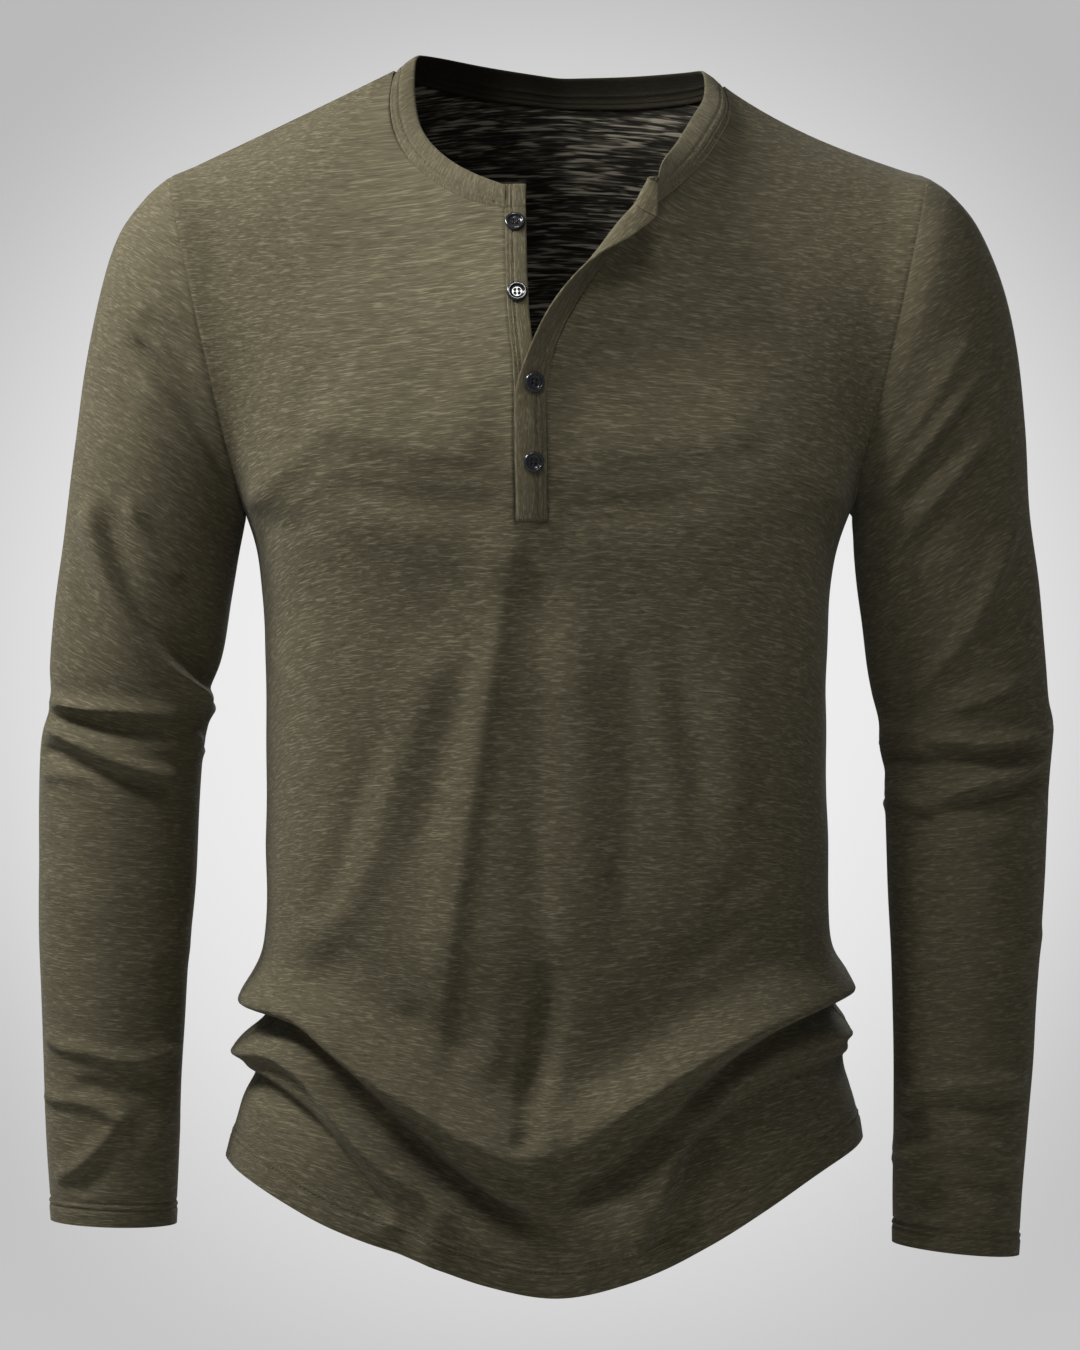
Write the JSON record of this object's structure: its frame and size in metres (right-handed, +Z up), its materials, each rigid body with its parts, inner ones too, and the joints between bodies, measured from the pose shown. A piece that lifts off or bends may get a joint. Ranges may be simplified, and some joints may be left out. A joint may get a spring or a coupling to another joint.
{
  "type": "henley shirt",
  "caption": "Long-sleeved henley shirt, worn form with no wearer: open band neck, half-open buttoned placket, curved hem and hollow sleeves.",
  "frame": {"origin": "middle of the neck opening at the height of the shoulders, where the wearer carries the shirt", "axes": "+X to the wearer's left, -Y to the front, +Z up"},
  "size_m": [0.5882, 0.2492, 0.7093],
  "materials": {
    "jersey": "slub jersey",
    "button": "polished"
  },
  "bodies": {
    "root": {"front": "jersey", "back": "jersey", "sleeve_right": "jersey", "sleeve_left": "jersey", "neckband": "jersey", "placket_under": "jersey", "placket_over": "jersey", "neck_tab_under": "jersey", "neck_tab_over": "jersey", "button_1": "button", "button_2": "button", "button_3": "button", "button_4": "button"}
  },
  "joints": []
}
